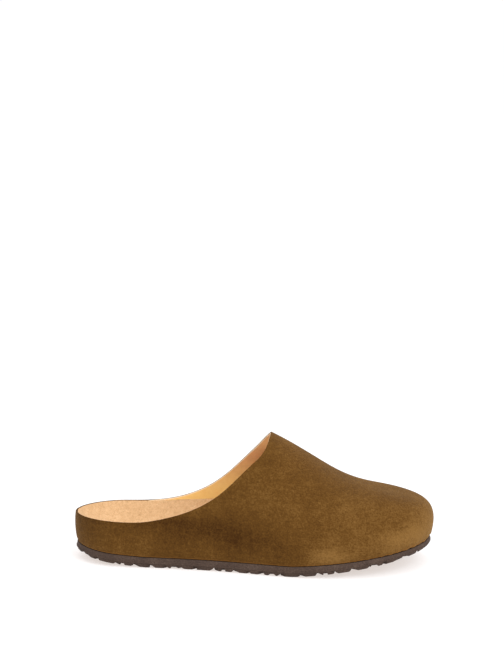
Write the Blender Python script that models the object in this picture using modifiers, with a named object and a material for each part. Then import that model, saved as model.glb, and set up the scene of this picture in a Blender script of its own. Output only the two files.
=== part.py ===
"""A clog slipper for the right foot, as its maker puts it together.

An outsole with a zigzag tread carries a contoured footbed, and an upper cut
from one piece of suede wraps both, from the back of the heel round the toe.
Run it with: blender --background --python part.py

The toe points along +X, the inner (medial) side of the foot is +Y and the
floor is z = 0. Everything is in metres.
"""

import math
from collections import namedtuple

import bmesh
import bpy
import numpy as np
from mathutils import Vector

# The sole's outline, along the feather edge where upper and sole meet
SOLE_LENGTH = 0.2790
HEEL_WIDTH = 0.0674
BALL_WIDTH = 0.1000
HEEL_ROUND = 0.0370  # length of the round end of the heel
TOE_ROUND = 0.0800  # length of the round end of the toe
TOE_SQUARENESS = 2.3  # 2 is an ellipse, more is blunter

# The outsole
SOLE_THICKNESS = 0.0081
SOLE_FLARE = 0.0006  # how far the sole's side stands out at its fullest
SOLE_BEVEL = 0.0016  # how far the tread's edge is drawn in
BALL_REACH = 0.1720  # from the heel to where the sole leaves the floor
TOE_SPRING = 0.0148
HEEL_SPRING = 0.0058
HEEL_SPRING_SPAN = 0.0590
SPRING_CURVE = 1.25  # 1 is a straight ramp, 2 a parabola
SOLE_TAPER = 0.19  # how much thinner the sole gets, as a share of its spring
TREAD_DEPTH = 0.0024
TREAD_PITCH = 0.0130
TREAD_MARGIN = 0.0090  # from either end of the sole to the nearest groove
GROOVE_MOUTH = 0.0050
GROOVE_ROOT = 0.0022
ZIGZAG_PERIOD = 0.0150
ZIGZAG_REACH = 0.0034
ZIGZAG_DRIFT = 0.0013  # how far each groove's zigzag lies to the side of the last

# The upper
UPPER_WALL = 0.0019  # suede and its leather lining together
THROAT_REACH = 0.1520  # from the heel to the peak of the throat
INSTEP_HEIGHT = 0.1018  # from the floor to the peak of the throat
TOE_HEIGHT = 0.0570  # from the floor to the crown over the toes
TOE_FAN = 0.0340  # from the toe's tip back to the point where its ribs meet
HEEL_FAN = 0.0370
FAN_EASE = 0.0600  # length over which ribs turn from straight across to a fan
RIB_LEAN = 0.0150  # how far ahead of the throat's peak the rib below it starts
SWELL = 0.0017  # how far the walls stand out over the feather edge
SWELL_HEIGHT = 0.0150  # how far above the feather edge they are fullest

# The footbed
FOOTBED_RIM = 0.0280  # from the outsole up to the rim at the heel
RIM_LIP = 0.0006  # the rim lies this far below the upper's cut edge
CUP_STEEPNESS = 3.0  # 2 is a bowl, more is a flatter floor with steeper sides

FIT_GAP = 0.0003  # between pieces that lie against each other

# How finely the surfaces are divided
HEEL_STEPS = 6
QUARTER_STEPS = 15
VAMP_STEPS = 7
TOE_STEPS = 11
RIB_STEPS = 11
FOOTBED_SIDE_STEPS = 3
FOOTBED_TOP_STEPS = 12

LATERAL, MEDIAL = -1, 1

# A line of the mesh up the upper's wall, by the stations it starts and ends at
Line = namedtuple("Line", "foot top")

# Sections of the last from heel to toe. along is a share of SOLE_LENGTH, and
# lean is how far the middle of the section lies to the medial side, as a share
# of BALL_WIDTH. spread runs from 0, as wide as the heel, to 1, as wide as the
# ball. fullness is 2 for a round arch, and more for a boxier one.
Section = namedtuple("Section", "along lean spread fullness")
SECTIONS = (
    Section(0.00, 0.000, -0.20, 2.0),
    Section(0.10, 0.000, -0.06, 2.0),
    Section(0.20, -0.004, 0.00, 2.0),
    Section(0.32, -0.022, 0.02, 2.0),
    Section(0.44, -0.040, 0.18, 2.0),
    Section(0.56, -0.042, 0.58, 2.0),
    Section(0.66, -0.028, 0.91, 2.1),
    Section(0.75, -0.008, 1.00, 2.3),
    Section(0.85, 0.022, 1.00, 2.7),
    Section(1.00, 0.075, 1.00, 5.4),
)

# The crown of the last. way is 0 where the toe's ribs meet and 1 at the throat.
# climb is 0 at TOE_HEIGHT and 1 at INSTEP_HEIGHT. Behind the throat the crown
# only guides the walls. lean is to the medial side, as a share of BALL_WIDTH.
Crown = namedtuple("Crown", "way climb lean")
CROWN = (
    Crown(0.00, 0.00, 0.05),
    Crown(0.12, 0.064, 0.05),
    Crown(0.28, 0.161, 0.05),
    Crown(0.42, 0.287, 0.05),
    Crown(0.58, 0.486, 0.05),
    Crown(0.74, 0.70, 0.04),
    Crown(0.90, 0.895, 0.03),
    Crown(1.00, 1.00, 0.03),
    Crown(1.40, 1.38, 0.01),
    Crown(2.00, 1.60, 0.00),
    Crown(3.00, 1.60, 0.00),
)

# The collar's cut edge. way is 0 at the back of the heel and 1 at the throat,
# and each side climbs from 0, the height of the rim, to 1, INSTEP_HEIGHT.
Collar = namedtuple("Collar", "way lateral medial")
COLLAR = (
    Collar(0.00, 0.000, 0.000),
    Collar(0.20, -0.010, 0.000),
    Collar(0.36, -0.010, 0.010),
    Collar(0.48, 0.040, 0.050),
    Collar(0.58, 0.110, 0.122),
    Collar(0.68, 0.215, 0.237),
    Collar(0.78, 0.375, 0.415),
    Collar(0.88, 0.595, 0.646),
    Collar(0.94, 0.730, 0.795),
    Collar(0.98, 0.865, 0.920),
    Collar(1.00, 1.000, 1.000),
)

# The footbed's floor and the height of its two edges, as shares of FOOTBED_RIM.
Bed = namedtuple("Bed", "along floor lateral medial")
FOOTBED = (
    Bed(0.00, 0.46, 1.00, 1.00),
    Bed(0.14, 0.42, 0.99, 1.00),
    Bed(0.26, 0.46, 0.96, 1.08),
    Bed(0.38, 0.52, 0.88, 1.14),
    Bed(0.50, 0.48, 0.72, 1.02),
    Bed(0.60, 0.42, 0.56, 0.72),
    Bed(0.72, 0.34, 0.48, 0.50),
    Bed(0.86, 0.32, 0.46, 0.48),
    Bed(1.00, 0.36, 0.52, 0.52),
)

# The side of the outsole from its top to the tread, as shares of its thickness,
# and how far it stands out, as shares of SOLE_FLARE or in from SOLE_BEVEL.
Edge = namedtuple("Edge", "height flare bevel")
SOLE_SIDE = (
    Edge(1.00, 0.0, 0.0),
    Edge(0.80, 0.6, 0.0),
    Edge(0.42, 1.0, 0.0),
    Edge(0.00, 0.0, 1.0),
)

Finish = namedtuple("Finish", "colour roughness")
SUEDE = Finish((0.155, 0.080, 0.021), 0.95)
FOOTBED_SUEDE = Finish((0.700, 0.430, 0.210), 0.90)
SOLE_RUBBER = Finish((0.060, 0.045, 0.042), 0.70)


def smooth_curve(rows, across, value):
    """A natural cubic spline through one column of a table."""
    x = np.array([getattr(row, across) for row in rows], float)
    y = np.array([getattr(row, value) for row in rows], float)
    step = np.diff(x)
    slope = np.diff(y) / step
    system = np.eye(len(x))
    turn = np.zeros(len(x))
    for i in range(1, len(x) - 1):
        system[i, i - 1 : i + 2] = step[i - 1], 2 * (step[i - 1] + step[i]), step[i]
        turn[i] = 6 * (slope[i] - slope[i - 1])
    bend = np.linalg.solve(system, turn)

    def at(place):
        i = int(np.clip(np.searchsorted(x, place) - 1, 0, len(step) - 1))
        left, right, span = place - x[i], x[i + 1] - place, step[i]
        curved = (bend[i] * right**3 + bend[i + 1] * left**3) / (6 * span)
        before = (y[i] / span - bend[i] * span / 6) * right
        after = (y[i + 1] / span - bend[i + 1] * span / 6) * left
        return float(curved + before + after)

    return at


section_lean = smooth_curve(SECTIONS, "along", "lean")
section_spread = smooth_curve(SECTIONS, "along", "spread")
section_fullness = smooth_curve(SECTIONS, "along", "fullness")
crown_climb = smooth_curve(CROWN, "way", "climb")
crown_lean = smooth_curve(CROWN, "way", "lean")
collar_climb = {
    LATERAL: smooth_curve(COLLAR, "way", "lateral"),
    MEDIAL: smooth_curve(COLLAR, "way", "medial"),
}
bed_floor = smooth_curve(FOOTBED, "along", "floor")
bed_edge = {
    LATERAL: smooth_curve(FOOTBED, "along", "lateral"),
    MEDIAL: smooth_curve(FOOTBED, "along", "medial"),
}


def roundness(along):
    """1 along the sides, falling to 0 at the tips of the heel and the toe."""
    behind = 1 - along * SOLE_LENGTH / HEEL_ROUND
    ahead = 1 - (1 - along) * SOLE_LENGTH / TOE_ROUND
    if behind > 0:
        return math.sqrt(max(0.0, 1 - behind**2))
    if ahead > 0:
        return max(0.0, 1 - ahead**TOE_SQUARENESS) ** (1 / TOE_SQUARENESS)
    return 1.0


def feather(side, along):
    """A point of the feather edge in plan."""
    spread = section_spread(along) * (BALL_WIDTH - HEEL_WIDTH) / 2
    half_width = roundness(along) * (HEEL_WIDTH / 2 + spread)
    lean = section_lean(along) * BALL_WIDTH
    return Vector((along * SOLE_LENGTH, lean + side * half_width, 0))


def sole_bottom(along):
    """Height of the sole's underside: flat on the floor, sprung at both ends."""
    from_heel = along * SOLE_LENGTH
    toe = max(0.0, (from_heel - BALL_REACH) / (SOLE_LENGTH - BALL_REACH))
    heel = max(0.0, 1 - from_heel / HEEL_SPRING_SPAN)
    return TOE_SPRING * toe**SPRING_CURVE + HEEL_SPRING * heel**SPRING_CURVE


def seat(along):
    """Height of the outsole's top, where upper and footbed stand."""
    return SOLE_THICKNESS + (1 - SOLE_TAPER) * sole_bottom(along)


def ease_to_fan(share, reach, stop):
    """Goes from 0 at full speed to stop at half of it, as share goes from 0 to 1."""
    starting = reach * (share**3 - 2 * share**2 + share)
    stopping = stop * (share**3 - share**2) / 2
    return starting + stopping + stop * (3 * share**2 - 2 * share**3)


def crown_station(along):
    """The station of the crown that the rib from this station runs up to."""
    heel_stop = HEEL_FAN / SOLE_LENGTH
    toe_stop = 1 - TOE_FAN / SOLE_LENGTH
    ease = FAN_EASE / SOLE_LENGTH
    heel_start, toe_start = heel_stop + ease, toe_stop - ease
    if along < heel_start:
        share = (heel_start - along) / heel_start
        return heel_start - ease_to_fan(share, heel_start, ease)
    if along > toe_start:
        share = (along - toe_start) / (1 - toe_start)
        return toe_start + ease_to_fan(share, 1 - toe_start, ease)
    return along


def crown(along):
    """A point of the last's crown line."""
    toe_stop = SOLE_LENGTH - TOE_FAN
    way = (toe_stop - along * SOLE_LENGTH) / (toe_stop - THROAT_REACH)
    height = TOE_HEIGHT + crown_climb(way) * (INSTEP_HEIGHT - TOE_HEIGHT)
    return Vector((along * SOLE_LENGTH, crown_lean(way) * BALL_WIDTH, height))


def swell(height):
    """How far the wall stands out at this height above the feather edge."""
    share = height / (3 * SWELL_HEIGHT)
    return SWELL * 6.75 * share * (1 - share) ** 2 if 0 < share < 1 else 0.0


def rib(side, along, angle):
    """A point of the upper's outer face: angle 0 is the feather edge, and a
    quarter turn is the crown."""
    base = feather(side, along)
    base.z = seat(along) + FIT_GAP
    station = crown_station(along)
    top = crown(station)
    inward = (top - base) * Vector((1, 1, 0))
    reach = inward.length
    step = 0.001
    crown_slope = (crown(station + step).z - crown(station - step).z) / (
        2 * step * SOLE_LENGTH
    )
    shear = crown_slope * inward.x
    power = 2 / section_fullness(along)
    across = 1 - max(0.0, math.cos(angle)) ** power
    up = max(0.0, math.sin(angle)) ** power
    height = (top.z - base.z - shear) * up + shear * across
    outward = -inward / reach
    point = base + inward * across + outward * (1 - across) * swell(height)
    point.z = base.z + height
    return point


def collar_height(side, x):
    """Height of the collar's edge above the floor."""
    rim = SOLE_THICKNESS + FOOTBED_RIM + RIM_LIP
    way = min(1.0, max(0.0, x / THROAT_REACH))
    return rim + collar_climb[side](way) * (INSTEP_HEIGHT - rim)


def last_angle(side, along):
    """The angle at which the collar cuts a rib, or a quarter turn ahead of the
    throat, where ribs run up to the crown."""
    top = math.pi / 2
    if along * SOLE_LENGTH >= THROAT_REACH - 1e-6:
        return top
    low, high = 0.0, top
    for _ in range(40):
        middle = (low + high) / 2
        point = rib(side, along, middle)
        if point.z < collar_height(side, point.x):
            low = middle
        else:
            high = middle
    return low


def rib_places(side, line):
    """The station and angle of points evenly spaced up a mesh line, which starts
    at its foot on the feather edge and leans to its top."""
    shares = np.linspace(0, 1, 61)
    alongs = line.foot + (line.top - line.foot) * shares**2
    angles = last_angle(side, line.top) * shares
    points = [rib(side, along, angle) for along, angle in zip(alongs, angles)]
    steps = [(b - a).length for a, b in zip(points, points[1:])]
    lengths = np.cumsum([0.0, *steps])
    even = np.linspace(0, lengths[-1], RIB_STEPS + 1)
    return list(zip(np.interp(even, lengths, alongs), np.interp(even, lengths, angles)))


def rib_at_turn(side, turn, angle):
    """A rib's point by how far it lies round the foot: 0 is the tip of the heel
    and pi the tip of the toe, and beyond either tip lies the other side."""
    if turn < 0 or turn > math.pi:
        side = -side
        turn = abs(turn) if turn < 0 else 2 * math.pi - turn
    return rib(side, (1 - math.cos(turn)) / 2, angle)


def outer_normal(side, along, angle):
    """The direction in which the upper's outer face looks."""
    turn = math.acos(1 - 2 * along)
    ahead = rib_at_turn(side, turn + 0.01, angle)
    behind = rib_at_turn(side, turn - 0.01, angle)
    above = rib(side, along, min(math.pi / 2, angle + 0.002))
    below = rib(side, along, max(0.0, angle - 0.002))
    return (side * (above - below).cross(ahead - behind)).normalized()


def inside_upper(side, line, heights):
    """The points at these heights that a piece inside the upper fills out to."""
    depth = UPPER_WALL + FIT_GAP
    inner = [
        rib(side, *place) - depth * outer_normal(side, *place)
        for place in rib_places(side, line)
    ]
    rise = [point.z for point in inner]
    xs = np.interp(heights, rise, [point.x for point in inner])
    ys = np.interp(heights, rise, [point.y for point in inner])
    return [Vector(place) for place in zip(xs, ys, heights)]


def mesh_lines():
    """Where every piece has a section: at even steps round the heel, along the
    collar's edge, along the vamp and round the toe."""
    heel_end = HEEL_ROUND / SOLE_LENGTH
    toe_start = 1 - TOE_ROUND / SOLE_LENGTH
    throat = THROAT_REACH / SOLE_LENGTH
    throat_foot = throat + RIB_LEAN / SOLE_LENGTH
    lines = []
    for i in range(HEEL_STEPS):
        along = heel_end * (1 - math.cos(math.pi / 2 * i / HEEL_STEPS))
        lines.append(Line(along, along))
    for i in range(QUARTER_STEPS):
        share = 1 - i / QUARTER_STEPS
        foot = throat_foot - (throat_foot - heel_end) * share**1.4
        lines.append(Line(foot, throat - (throat - heel_end) * share**2.2))
    for i in range(VAMP_STEPS):
        share = i / VAMP_STEPS
        foot = throat_foot + (toe_start - throat_foot) * share
        lines.append(Line(foot, throat + (toe_start - throat) * share))
    for i in range(TOE_STEPS + 1):
        turned = math.sin(math.pi / 2 * i / TOE_STEPS) ** (2 / TOE_SQUARENESS)
        along = toe_start + (1 - toe_start) * turned
        lines.append(Line(along, along))
    return lines


def mesh_object(name, finish, points, faces):
    """A smooth-shaded object of these faces, with its seams welded."""
    shape = bmesh.new()
    corners = [shape.verts.new(point) for point in points]
    for face in faces:
        shape.faces.new([corners[i] for i in face])
    bmesh.ops.remove_doubles(shape, verts=shape.verts, dist=1e-6)
    bmesh.ops.recalc_face_normals(shape, faces=shape.faces)
    mesh = bpy.data.meshes.new(name)
    shape.to_mesh(mesh)
    shape.free()
    mesh.shade_smooth()
    mesh.set_sharp_from_angle(angle=math.radians(40))
    made = bpy.data.objects.new(name, mesh)
    if finish:
        made.data.materials.append(material(name, finish))
    return made


def material(name, finish):
    """A Principled BSDF in the piece's own colour."""
    made = bpy.data.materials.new(name)
    made.use_nodes = True
    shader = made.node_tree.nodes["Principled BSDF"]
    shader.inputs["Base Color"].default_value = (*finish.colour, 1)
    shader.inputs["Roughness"].default_value = finish.roughness
    shader.inputs["Metallic"].default_value = 0.0
    return made


def loft(name, finish, rings, closed=True, capped=False):
    """A surface through rings that all have the same number of points."""
    size = len(rings[0])
    points = [point for ring in rings for point in ring]
    faces = []
    for row in range(len(rings) - 1):
        for i in range(size if closed else size - 1):
            near, far = row * size, (row + 1) * size
            after = (i + 1) % size
            faces.append((near + i, near + after, far + after, far + i))
    if capped:
        faces.append(tuple(range(size)))
        faces.append(tuple(range(len(points) - size, len(points))))
    return mesh_object(name, finish, points, faces)


def upper():
    """The suede upper: ribs up both sides, meeting at heel, crown and toe, and
    a wall that Solidify grows inwards from their outer face."""
    rings = []
    for line in mesh_lines():
        sides = [
            [rib(side, *place) for place in rib_places(side, line)]
            for side in (LATERAL, MEDIAL)
        ]
        rings.append(sides)
    points, faces = [], []
    for side in range(2):
        first = len(points)
        for sides in rings:
            points.extend(sides[side])
        size = RIB_STEPS + 1
        for row in range(len(rings) - 1):
            for i in range(RIB_STEPS):
                a = first + row * size + i
                b = a + size
                faces.append((a, a + 1, b + 1, b) if side else (a, b, b + 1, a + 1))
    made = mesh_object("upper", SUEDE, points, faces)
    wall = made.modifiers.new("wall", "SOLIDIFY")
    wall.thickness = UPPER_WALL
    wall.offset = -1
    wall.use_even_offset = True
    wall.use_rim = True
    return made


def footbed():
    """The contoured footbed: its sides follow the upper's inner face, and its
    top is dished between the two edges."""
    rings = []
    for line in mesh_lines():
        along = line.foot
        bottom = seat(along) + FIT_GAP
        walls, edges = {}, {}
        for side in (LATERAL, MEDIAL):
            collar = collar_height(side, along * SOLE_LENGTH) - RIM_LIP
            edges[side] = min(bottom + bed_edge[side](along) * FOOTBED_RIM, collar)
            heights = np.linspace(bottom, edges[side], FOOTBED_SIDE_STEPS + 1)
            walls[side] = inside_upper(side, line, heights)
        floor = bottom + bed_floor(along) * FOOTBED_RIM
        start, end = walls[LATERAL][-1], walls[MEDIAL][-1]
        top = []
        for i in range(1, FOOTBED_TOP_STEPS):
            share = i / FOOTBED_TOP_STEPS
            place = start.lerp(end, share)
            out = abs(2 * share - 1)
            edge = edges[MEDIAL] if share > 0.5 else edges[LATERAL]
            nearness = math.sqrt(1 - roundness(along) ** 2 * (1 - out**2))
            place.z = floor + (edge - floor) * nearness**CUP_STEEPNESS
            top.append(place)
        rings.append(walls[LATERAL] + top + walls[MEDIAL][::-1])
    return loft("footbed", FOOTBED_SUEDE, rings)


def sole_edge_point(side, along, edge):
    """A point of the outsole's side."""
    place = feather(side, along)
    inward = (crown(crown_station(along)) - place) * Vector((1, 1, 0))
    stand_out = edge.flare * SOLE_FLARE - edge.bevel * SOLE_BEVEL
    place -= inward.normalized() * stand_out
    bottom = sole_bottom(along)
    place.z = bottom + edge.height * (seat(along) - bottom)
    return place


def groove(index, x):
    """The cutter for one zigzag groove across the tread, wider at its mouth."""
    along = x / SOLE_LENGTH
    margin = 0.004
    mouth = GROOVE_MOUTH + (GROOVE_MOUTH - GROOVE_ROOT) * margin / TREAD_DEPTH
    profile = (
        (-mouth / 2, -margin),
        (mouth / 2, -margin),
        (GROOVE_ROOT / 2, TREAD_DEPTH),
        (-GROOVE_ROOT / 2, TREAD_DEPTH),
    )
    half_period = ZIGZAG_PERIOD / 2
    drift = index * ZIGZAG_DRIFT
    first = math.floor((feather(LATERAL, along).y - margin - drift) / half_period)
    last = math.ceil((feather(MEDIAL, along).y + margin - drift) / half_period)
    rings = []
    for i in range(first, last + 1):
        middle = x + (ZIGZAG_REACH if i % 2 else -ZIGZAG_REACH)
        ring = []
        for offset, height in profile:
            here = middle + offset
            underside = sole_bottom(here / SOLE_LENGTH)
            ring.append(Vector((here, drift + i * half_period, underside + height)))
        rings.append(ring)
    return loft(f"groove_{index:02d}", None, rings, capped=True)


def joined(name, objects):
    """One object that holds the meshes of several."""
    shape = bmesh.new()
    for item in objects:
        shape.from_mesh(item.data)
        bpy.data.objects.remove(item)
    mesh = bpy.data.meshes.new(name)
    shape.to_mesh(mesh)
    shape.free()
    return bpy.data.objects.new(name, mesh)


def tread_cutter():
    """All of the tread's grooves, a pitch apart."""
    room = SOLE_LENGTH - 2 * TREAD_MARGIN
    gaps = int(room / TREAD_PITCH)
    first = (SOLE_LENGTH - gaps * TREAD_PITCH) / 2
    return joined(
        "tread_grooves", [groove(i, first + i * TREAD_PITCH) for i in range(gaps + 1)]
    )


def outsole(cutter):
    """The outsole, with the tread cut into its underside."""
    rings = []
    for line in mesh_lines():
        down = [sole_edge_point(LATERAL, line.foot, edge) for edge in SOLE_SIDE]
        up = [sole_edge_point(MEDIAL, line.foot, edge) for edge in reversed(SOLE_SIDE)]
        rings.append(down + up)
    made = loft("outsole", SOLE_RUBBER, rings)
    cut = made.modifiers.new("tread", "BOOLEAN")
    cut.operation = "DIFFERENCE"
    cut.solver = "EXACT"
    cut.object = cutter
    return made


def middle_of(objects):
    """The centre of what the objects cover in plan."""
    bpy.context.view_layer.update()
    graph = bpy.context.evaluated_depsgraph_get()
    corners = [
        Vector(corner) for item in objects for corner in item.evaluated_get(graph).bound_box
    ]
    xs, ys = [c.x for c in corners], [c.y for c in corners]
    return Vector(((min(xs) + max(xs)) / 2, (min(ys) + max(ys)) / 2, 0))


def main():
    for item in list(bpy.data.objects):
        bpy.data.objects.remove(item, do_unlink=True)
    scene = bpy.context.scene
    parts = bpy.data.collections.new("clog_slipper")
    cutters = bpy.data.collections.new("cutters")
    scene.collection.children.link(parts)
    scene.collection.children.link(cutters)

    cutter = tread_cutter()
    cutter.hide_render = True
    cutter.display_type = "WIRE"
    cutters.objects.link(cutter)
    pieces = [outsole(cutter), footbed(), upper()]
    for piece in pieces:
        parts.objects.link(piece)

    slipper = bpy.data.objects.new("clog_slipper", None)
    parts.objects.link(slipper)
    slipper.location = -middle_of(pieces)
    for item in [*pieces, cutter]:
        item.parent = slipper


main()
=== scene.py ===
# %% [markdown]
# # A suede clog slipper
# The slipper is three things that a maker joins: a thin rubber outsole, a contoured
# footbed covered in light suede, and an upper of brown suede lined with leather. The
# solids of the three arrive as a fixed frame. This lesson gives each one its real
# surface, from the shape of the last down to the nap of the suede.

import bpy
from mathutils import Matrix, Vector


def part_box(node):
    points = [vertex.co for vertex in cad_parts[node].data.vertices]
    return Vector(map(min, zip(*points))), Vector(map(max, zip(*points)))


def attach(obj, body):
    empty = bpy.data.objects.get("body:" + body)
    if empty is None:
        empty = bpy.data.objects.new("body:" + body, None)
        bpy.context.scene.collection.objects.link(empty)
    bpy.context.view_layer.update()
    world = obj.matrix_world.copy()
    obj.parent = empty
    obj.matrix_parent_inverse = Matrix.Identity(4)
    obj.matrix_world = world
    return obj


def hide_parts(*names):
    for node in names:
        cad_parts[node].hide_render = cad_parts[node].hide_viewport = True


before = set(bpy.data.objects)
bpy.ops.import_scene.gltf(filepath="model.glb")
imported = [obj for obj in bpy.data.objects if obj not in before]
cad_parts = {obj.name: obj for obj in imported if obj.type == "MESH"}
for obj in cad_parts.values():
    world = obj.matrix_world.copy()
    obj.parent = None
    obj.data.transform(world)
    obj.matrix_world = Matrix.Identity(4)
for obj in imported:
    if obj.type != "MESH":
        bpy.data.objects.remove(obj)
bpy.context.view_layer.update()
print("solids:", sorted(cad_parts))

# %% Modules
import math
from collections import namedtuple

import bmesh
import bpy
import numpy as np
from mathutils import Vector

# %% [markdown]
# ## The camera
# A product photograph is taken with a long lens from a little above the shoe. The
# camera stands on a line that rises from a point inside the shoe, and it looks
# slightly above that point, because the shoe sits low in the picture. Tilting the
# camera does this without any lens shift, so every other view stays centred.

# %% Place the camera
PICTURE_WIDTH, PICTURE_HEIGHT = 504, 672
SHOE_POINT = Vector((0, 0, 0.045))
SHOE_POINT_COLUMN, SHOE_POINT_ROW = 252.9, 502.9  # where that point shows, in pixels
CAMERA_DISTANCE = 1.55
CAMERA_RISE = math.radians(14.5)
CAMERA_TURN = math.radians(5)
LENS = 105.9
FILM = 36.0  # millimetres along the picture's longer side

sight = Vector(
    (
        -math.sin(CAMERA_TURN) * math.cos(CAMERA_RISE),
        math.cos(CAMERA_TURN) * math.cos(CAMERA_RISE),
        -math.sin(CAMERA_RISE),
    )
)
focal_pixels = LENS / FILM * PICTURE_HEIGHT
tilt = math.atan((SHOE_POINT_ROW - PICTURE_HEIGHT / 2) / focal_pixels)
swing = math.atan((SHOE_POINT_COLUMN - PICTURE_WIDTH / 2) / focal_pixels)

camera = bpy.data.objects.new("camera", bpy.data.cameras.new("camera"))
bpy.context.scene.collection.objects.link(camera)
camera.data.lens = LENS
camera.data.sensor_width = FILM
camera.location = SHOE_POINT - sight * CAMERA_DISTANCE
camera.rotation_euler = (math.pi / 2 - CAMERA_RISE + tilt, 0, CAMERA_TURN + swing)
bpy.context.scene.camera = camera
print("camera at", [round(value, 3) for value in camera.location])

# %% [markdown]
# ## The last
# A shoe is built round a last, a model of the foot. Its sections, crown and collar
# are the same named sizes and tables that the solids were lofted from, so a finer
# surface made here lies on them. Only the two tips draw in by a millimetre or two low
# down, as soft suede does. Working with numpy arrays instead of one point at a time
# makes a mesh of more than 20,000 points in a moment.

# %% Sizes of the last and the sole, in metres
SOLE_LENGTH = 0.2790
HEEL_WIDTH = 0.0674
BALL_WIDTH = 0.1000
HEEL_ROUND = 0.0370
TOE_ROUND = 0.0800
TOE_SQUARENESS = 2.3
SOLE_THICKNESS = 0.0081
SOLE_FLARE = 0.0006
BALL_REACH = 0.1720
TOE_SPRING = 0.0148
HEEL_SPRING = 0.0058
HEEL_SPRING_SPAN = 0.0590
SPRING_CURVE = 1.25
SOLE_TAPER = 0.19
UPPER_WALL = 0.0019
THROAT_REACH = 0.1520
THROAT_PEAK = 0.1536  # the soft suede reaches a little ahead of the solid's peak
INSTEP_HEIGHT = 0.1018
TOE_HEIGHT = 0.0570
TOE_FAN = 0.0340
HEEL_FAN = 0.0370
FAN_EASE = 0.0600
RIB_LEAN = 0.0150
SWELL = 0.0017
SWELL_HEIGHT = 0.0150
Tip = namedtuple("Tip", "reach height span")  # how far, how high and over what share
HEEL_TIP = Tip(0.0010, 0.0300, 0.10)
TOE_TIP = Tip(0.0018, 0.0170, 0.14)
FOOTBED_RIM = 0.0280
RIM_LIP = 0.0006
CUP_STEEPNESS = 3.0
FIT_GAP = 0.0003
LATERAL, MEDIAL = -1, 1
TINY = 1e-6  # places closer than this are the same

# %% Sections, crown, collar and footbed
Section = namedtuple("Section", "along lean spread fullness")
SECTIONS = (
    Section(0.00, 0.000, -0.20, 2.0),
    Section(0.10, 0.000, -0.06, 2.0),
    Section(0.20, -0.004, 0.00, 2.0),
    Section(0.32, -0.022, 0.02, 2.0),
    Section(0.44, -0.040, 0.18, 2.0),
    Section(0.56, -0.042, 0.58, 2.0),
    Section(0.66, -0.028, 0.91, 2.1),
    Section(0.75, -0.008, 1.00, 2.3),
    Section(0.85, 0.022, 1.00, 2.7),
    Section(1.00, 0.075, 1.00, 5.4),
)
Crown = namedtuple("Crown", "way climb lean")
CROWN = (
    Crown(0.00, 0.00, 0.05),
    Crown(0.12, 0.064, 0.05),
    Crown(0.28, 0.161, 0.05),
    Crown(0.42, 0.287, 0.05),
    Crown(0.58, 0.486, 0.05),
    Crown(0.74, 0.70, 0.04),
    Crown(0.90, 0.895, 0.03),
    Crown(1.00, 1.00, 0.03),
    Crown(1.40, 1.38, 0.01),
    Crown(2.00, 1.60, 0.00),
    Crown(3.00, 1.60, 0.00),
)
Collar = namedtuple("Collar", "way lateral medial")
COLLAR = (
    Collar(0.00, 0.000, 0.000),
    Collar(0.20, -0.010, 0.000),
    Collar(0.36, -0.010, 0.010),
    Collar(0.48, 0.040, 0.050),
    Collar(0.58, 0.110, 0.122),
    Collar(0.68, 0.215, 0.237),
    Collar(0.78, 0.375, 0.415),
    Collar(0.88, 0.595, 0.646),
    Collar(0.94, 0.724, 0.795),
    Collar(0.97, 0.789, 0.878),
    Collar(0.99, 0.851, 0.933),
    Collar(1.00, 0.898, 0.960),
    Collar(1.0105, 0.988, 0.988),
)
Bed = namedtuple("Bed", "along floor lateral medial")
FOOTBED = (
    Bed(0.00, 0.46, 1.00, 1.00),
    Bed(0.14, 0.42, 0.99, 1.00),
    Bed(0.26, 0.46, 0.96, 1.08),
    Bed(0.38, 0.52, 0.88, 1.14),
    Bed(0.50, 0.48, 0.72, 1.02),
    Bed(0.60, 0.42, 0.56, 0.72),
    Bed(0.72, 0.34, 0.48, 0.50),
    Bed(0.86, 0.32, 0.46, 0.48),
    Bed(1.00, 0.36, 0.52, 0.52),
)


# %% Smooth curves through the tables
def smooth_curve(rows, across, value):
    """A natural cubic spline through one column of a table."""
    x = np.array([getattr(row, across) for row in rows], float)
    y = np.array([getattr(row, value) for row in rows], float)
    step = np.diff(x)
    slope = np.diff(y) / step
    system = np.eye(len(x))
    turn = np.zeros(len(x))
    for i in range(1, len(x) - 1):
        system[i, i - 1 : i + 2] = step[i - 1], 2 * (step[i - 1] + step[i]), step[i]
        turn[i] = 6 * (slope[i] - slope[i - 1])
    bend = np.linalg.solve(system, turn)

    def at(place):
        place = np.asarray(place, float)
        i = np.clip(np.searchsorted(x, place) - 1, 0, len(step) - 1)
        left, right, span = place - x[i], x[i + 1] - place, step[i]
        curved = (bend[i] * right**3 + bend[i + 1] * left**3) / (6 * span)
        before = (y[i] / span - bend[i] * span / 6) * right
        after = (y[i + 1] / span - bend[i + 1] * span / 6) * left
        return curved + before + after

    return at


section_lean = smooth_curve(SECTIONS, "along", "lean")
section_spread = smooth_curve(SECTIONS, "along", "spread")
section_fullness = smooth_curve(SECTIONS, "along", "fullness")
crown_climb = smooth_curve(CROWN, "way", "climb")
crown_lean = smooth_curve(CROWN, "way", "lean")
collar_climb = {
    LATERAL: smooth_curve(COLLAR, "way", "lateral"),
    MEDIAL: smooth_curve(COLLAR, "way", "medial"),
}
bed_floor = smooth_curve(FOOTBED, "along", "floor")
bed_edge = {
    LATERAL: smooth_curve(FOOTBED, "along", "lateral"),
    MEDIAL: smooth_curve(FOOTBED, "along", "medial"),
}


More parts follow.
